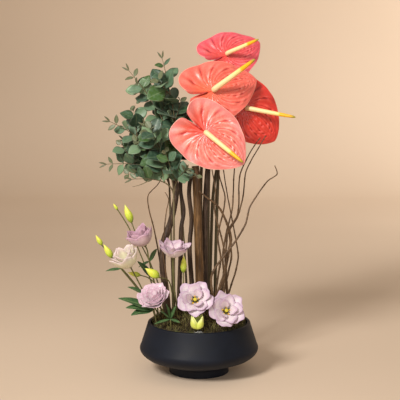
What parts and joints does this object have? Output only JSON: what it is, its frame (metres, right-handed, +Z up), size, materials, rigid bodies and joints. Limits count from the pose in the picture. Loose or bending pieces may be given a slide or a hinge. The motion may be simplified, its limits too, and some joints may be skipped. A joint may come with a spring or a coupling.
{
  "type": "anthurium bouquet",
  "caption": "Cut-flower arrangement: anthuriums over eucalyptus, curly willow and lisianthus, standing in foam and moss in a low round bowl.",
  "frame": {"origin": "middle of the bowl's flat foot, on the surface that it stands on", "axes": "+Z up, +X to the right, -Y towards the side that the flowers face"},
  "size_m": [0.3983, 0.24, 0.6837],
  "materials": {
    "stoneware": "satin",
    "cellophane": "gloss",
    "foam": "matte",
    "moss": "matte",
    "dark_bark": "matte",
    "light_bark": "matte",
    "willow_bark": "matte",
    "anthurium_stem": "satin",
    "coral_spathe": "satin",
    "spadix": "matte",
    "eucalyptus_leaf": "matte",
    "flower_stem": "matte",
    "lilac_petal": "matte",
    "green_bud": "matte",
    "dark_leaf": "matte"
  },
  "bodies": {
    "root": {"anthurium_1_spadix": "spadix", "anthurium_1_spathe": "coral_spathe", "anthurium_1_stem": "anthurium_stem", "anthurium_2_spadix": "spadix", "anthurium_2_spathe": "coral_spathe", "anthurium_2_stem": "anthurium_stem", "anthurium_3_spadix": "spadix", "anthurium_3_spathe": "coral_spathe", "anthurium_3_stem": "anthurium_stem", "anthurium_4_spadix": "spadix", "anthurium_4_spathe": "coral_spathe", "anthurium_4_stem": "anthurium_stem", "bowl": "stoneware", "branch_back": "dark_bark", "branch_left": "dark_bark", "branch_middle": "dark_bark", "cellophane_liner": "cellophane", "eucalyptus_front": "eucalyptus_leaf", "eucalyptus_left": "eucalyptus_leaf", "eucalyptus_upper": "eucalyptus_leaf", "floral_foam": "foam", "lisianthus_1_bloom": "lilac_petal", "lisianthus_1_stem": "flower_stem", "lisianthus_2_bloom": "lilac_petal", "lisianthus_2_stem": "flower_stem", "lisianthus_3_bloom": "lilac_petal", "lisianthus_3_stem": "flower_stem", "lisianthus_4_bloom": "lilac_petal", "lisianthus_4_stem": "flower_stem", "lisianthus_5_bloom": "lilac_petal", "lisianthus_5_stem": "flower_stem", "lisianthus_6_bloom": "lilac_petal", "lisianthus_6_stem": "flower_stem", "lisianthus_bud_1": "green_bud", "lisianthus_bud_2": "green_bud", "lisianthus_bud_3": "green_bud", "lisianthus_bud_4": "green_bud", "lisianthus_bud_5": "green_bud", "lisianthus_bud_6": "green_bud", "lisianthus_bud_7": "green_bud", "lisianthus_green_bloom": "green_bud", "lisianthus_green_stem": "flower_stem", "lisianthus_leaves_front": "dark_leaf", "lisianthus_leaves_low": "dark_leaf", "moss": "moss", "willow_twig_1": "willow_bark", "willow_twig_10": "willow_bark", "willow_twig_2": "willow_bark", "willow_twig_3": "willow_bark", "willow_twig_4": "willow_bark", "willow_twig_5": "willow_bark", "willow_twig_6": "willow_bark", "willow_twig_7": "willow_bark", "willow_twig_8": "willow_bark", "willow_twig_9": "willow_bark", "wood_pole_dark": "dark_bark", "wood_pole_light": "light_bark"}
  },
  "joints": []
}
